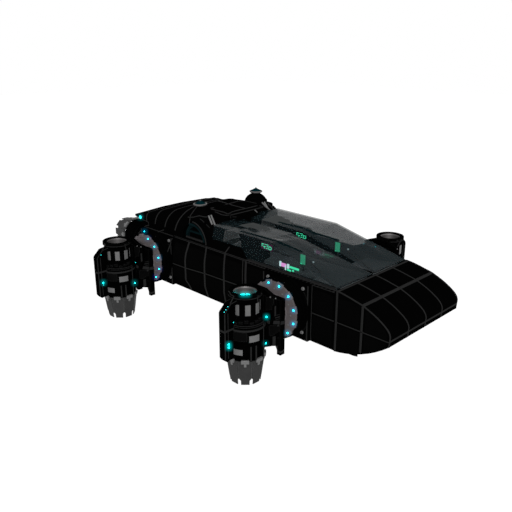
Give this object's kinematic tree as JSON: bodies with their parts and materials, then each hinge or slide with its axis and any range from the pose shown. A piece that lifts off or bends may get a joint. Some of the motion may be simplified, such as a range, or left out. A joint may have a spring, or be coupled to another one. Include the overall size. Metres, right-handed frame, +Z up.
{
  "type": "hovercraft",
  "caption": "Low black wedge-nosed hovercraft with tilting thruster pods on side rings, twin side-by-side glass canopies and rear thrusters.",
  "frame": {"origin": "on the ground at the centre of the bounding box's bottom face", "axes": "+X towards the nose, +Y to port, +Z up"},
  "size_m": [7.7926, 5.48, 2.5266],
  "materials": {
    "hull_black": "satin black",
    "pod_black": "satin black",
    "ring_grey": "satin light grey",
    "duct_grey": "satin light grey",
    "nozzle_grey": "satin grey",
    "tinted_glass": "clear gloss tint",
    "seat_grey": "matte grey",
    "console_grey": "matte dark grey",
    "teal_panel": "gloss dark teal",
    "beacon_teal": "gloss teal lens",
    "tail_light_cyan": "gloss cyan lens",
    "machinery_grey": "matte grey"
  },
  "bodies": {
    "hull": {"hull_tub": "hull_black", "nose": "hull_black", "rear_deck": "hull_black", "aft_cabin": "hull_black", "roof_panel": "hull_black", "spine": "hull_black", "power_unit": "machinery_grey", "hull_side_right": "hull_black", "side_port_right": "teal_panel", "beacon_right": "beacon_teal", "tail_light_right": "tail_light_cyan", "console_right": "console_grey", "seat_right": "seat_grey", "thruster_right": "pod_black", "thruster_nozzle_right": "nozzle_grey", "mount_pad_front_right": "hull_black", "pivot_ring_front_right": "ring_grey", "mount_pad_rear_right": "hull_black", "pivot_ring_rear_right": "ring_grey", "hull_side_left": "hull_black", "side_port_left": "teal_panel", "beacon_left": "beacon_teal", "tail_light_left": "tail_light_cyan", "console_left": "console_grey", "seat_left": "seat_grey", "thruster_left": "pod_black", "thruster_nozzle_left": "nozzle_grey", "mount_pad_front_left": "hull_black", "pivot_ring_front_left": "ring_grey", "mount_pad_rear_left": "hull_black", "pivot_ring_rear_left": "ring_grey"},
    "pod_front_right": {"pod_front_right_body": "pod_black", "pod_front_right_duct": "duct_grey", "pod_front_right_nozzle": "nozzle_grey"},
    "pod_front_left": {"pod_front_left_body": "pod_black", "pod_front_left_duct": "duct_grey", "pod_front_left_nozzle": "nozzle_grey"},
    "pod_rear_right": {"pod_rear_right_body": "pod_black", "pod_rear_right_duct": "duct_grey", "pod_rear_right_nozzle": "nozzle_grey"},
    "pod_rear_left": {"pod_rear_left_body": "pod_black", "pod_rear_left_duct": "duct_grey", "pod_rear_left_nozzle": "nozzle_grey"},
    "canopy_right": {"canopy_right": "tinted_glass"},
    "canopy_left": {"canopy_left": "tinted_glass"}
  },
  "joints": [
    {"name": "pod_front_right_tilt", "type": "hinge", "parent": "hull", "child": "pod_front_right", "pos_m": [1.6743, -1.33, 1.1033], "axis": [0, 1, 0], "range_deg": [-30, 90]},
    {"name": "pod_front_left_tilt", "type": "hinge", "parent": "hull", "child": "pod_front_left", "pos_m": [1.6743, 1.33, 1.1033], "axis": [0, 1, 0], "range_deg": [-30, 90]},
    {"name": "pod_rear_right_tilt", "type": "hinge", "parent": "hull", "child": "pod_rear_right", "pos_m": [-2.2607, -1.33, 1.1033], "axis": [0, 1, 0], "range_deg": [-30, 90]},
    {"name": "pod_rear_left_tilt", "type": "hinge", "parent": "hull", "child": "pod_rear_left", "pos_m": [-2.2607, 1.33, 1.1033], "axis": [0, 1, 0], "range_deg": [-30, 90]},
    {"name": "canopy_right_lift", "type": "hinge", "parent": "hull", "child": "canopy_right", "pos_m": [-0.5257, -0.55, 2.1203], "axis": [0, -1, 0], "range_deg": [0, 45]},
    {"name": "canopy_left_lift", "type": "hinge", "parent": "hull", "child": "canopy_left", "pos_m": [-0.5257, 0.55, 2.1203], "axis": [0, -1, 0], "range_deg": [0, 45]}
  ]
}
